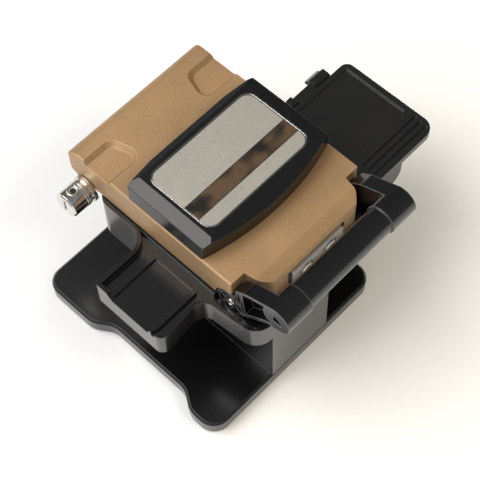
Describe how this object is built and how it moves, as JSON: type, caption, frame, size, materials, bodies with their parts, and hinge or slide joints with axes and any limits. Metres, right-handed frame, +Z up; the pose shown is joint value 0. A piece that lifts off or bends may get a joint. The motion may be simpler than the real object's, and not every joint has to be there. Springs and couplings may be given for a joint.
{
  "type": "fibre cleaver",
  "caption": "Bench-top optical fibre cleaver: hinged lid over a blade deck, bail handle, holder tray, flat base and side scrap bin",
  "frame": {"origin": "bottom centre of the bounding box, on the table under the feet", "axes": "+X along the fibre towards the scrap bin, +Y from the bail handle to the lid hinge, +Z up"},
  "size_m": [0.1216, 0.1002, 0.0683],
  "materials": {
    "body_black": "satin powder coat",
    "deck_black": "black anodised",
    "lid_bronze": "blasted, bronze anodised",
    "moulded_black": "fine moulded grain",
    "bin_black": "smooth moulded",
    "rubber_black": "matt",
    "chrome_bright": "polished",
    "steel": "fine machined"
  },
  "bodies": {
    "base": {"bin_pin_1": "steel", "bin_pin_2": "steel", "body_casting": "body_black", "bracket_screw_1": "steel", "bracket_screw_2": "steel", "deck_plate": "deck_black", "foot_1": "rubber_black", "foot_2": "rubber_black", "foot_3": "rubber_black", "foot_4": "rubber_black", "guide_rod_left": "chrome_bright", "guide_rod_right": "chrome_bright", "hinge_bracket": "steel", "hinge_shaft": "chrome_bright", "latch_magnet": "steel", "lower_clamp_left": "steel", "lower_clamp_right": "steel", "lower_pad_left": "rubber_black", "lower_pad_right": "rubber_black", "lower_yoke": "steel", "pivot_screw_left": "steel", "pivot_screw_right": "steel", "torsion_spring": "steel"},
    "lid": {"lid_shell": "lid_bronze", "lid_boss": "moulded_black", "catch_plate": "steel", "catch_screw_1": "steel", "catch_screw_2": "steel", "upper_clamp_left": "steel", "upper_clamp_right": "steel", "upper_pad_left": "rubber_black", "upper_pad_right": "rubber_black", "anvil_guide": "steel", "upper_yoke": "steel", "anvil_spring": "steel"},
    "anvil": {"anvil": "steel"},
    "carriage": {"blade_carriage": "steel", "blade_axle": "steel", "push_rod": "chrome_bright"},
    "blade": {"blade_wheel": "steel"},
    "knob": {"tension_knob": "chrome_bright", "set_screw": "steel"},
    "lower_roller": {"lower_roller": "rubber_black"},
    "upper_roller": {"upper_roller": "rubber_black"},
    "bail": {"bail_handle": "moulded_black"},
    "bin": {"bin_box": "bin_black", "bin_hinge_pin": "steel"},
    "bin_cover": {"bin_cover": "bin_black"}
  },
  "joints": [
    {"name": "lid_hinge", "type": "hinge", "parent": "base", "child": "lid", "pos_m": [-0.00625, 0.04125, 0.045], "axis": [-1, 0, 0], "range_deg": [0, 80]},
    {"name": "bail_hinge", "type": "hinge", "parent": "base", "child": "bail", "pos_m": [-0.00625, -0.02505, 0.0475], "axis": [1, 0, 0], "range_deg": [-6, 16]},
    {"name": "carriage_slide", "type": "slide", "parent": "base", "child": "carriage", "axis": [0, -1, 0], "range_m": [0, 0.013]},
    {"name": "blade_index", "type": "hinge", "parent": "carriage", "child": "blade", "pos_m": [-0.00625, 0.00465, 0.0391], "axis": [1, 0, 0], "continuous": true},
    {"name": "anvil_slide", "type": "slide", "parent": "lid", "child": "anvil", "axis": [0, 0, 1], "range_m": [0, 0.001], "stiffness_N_per_m": 400, "deforming": ["anvil_spring"]},
    {"name": "knob_turn", "type": "hinge", "parent": "base", "child": "knob", "pos_m": [-0.04075, 0.04125, 0.045], "axis": [1, 0, 0], "continuous": true},
    {"name": "lower_roller_turn", "type": "hinge", "parent": "base", "child": "lower_roller", "pos_m": [0.01815, -0.00335, 0.0447], "axis": [0, 1, 0], "continuous": true},
    {"name": "upper_roller_turn", "type": "hinge", "parent": "lid", "child": "upper_roller", "pos_m": [0.01815, -0.00335, 0.0498], "axis": [0, 1, 0], "continuous": true},
    {"name": "bin_slide", "type": "slide", "parent": "base", "child": "bin", "axis": [1, 0, 0], "range_m": [0, 0.009]},
    {"name": "bin_cover_hinge", "type": "hinge", "parent": "bin", "child": "bin_cover", "pos_m": [0.03925, 0.01325, 0.0452], "axis": [-1, 0, 0], "range_deg": [0, 100]}
  ]
}
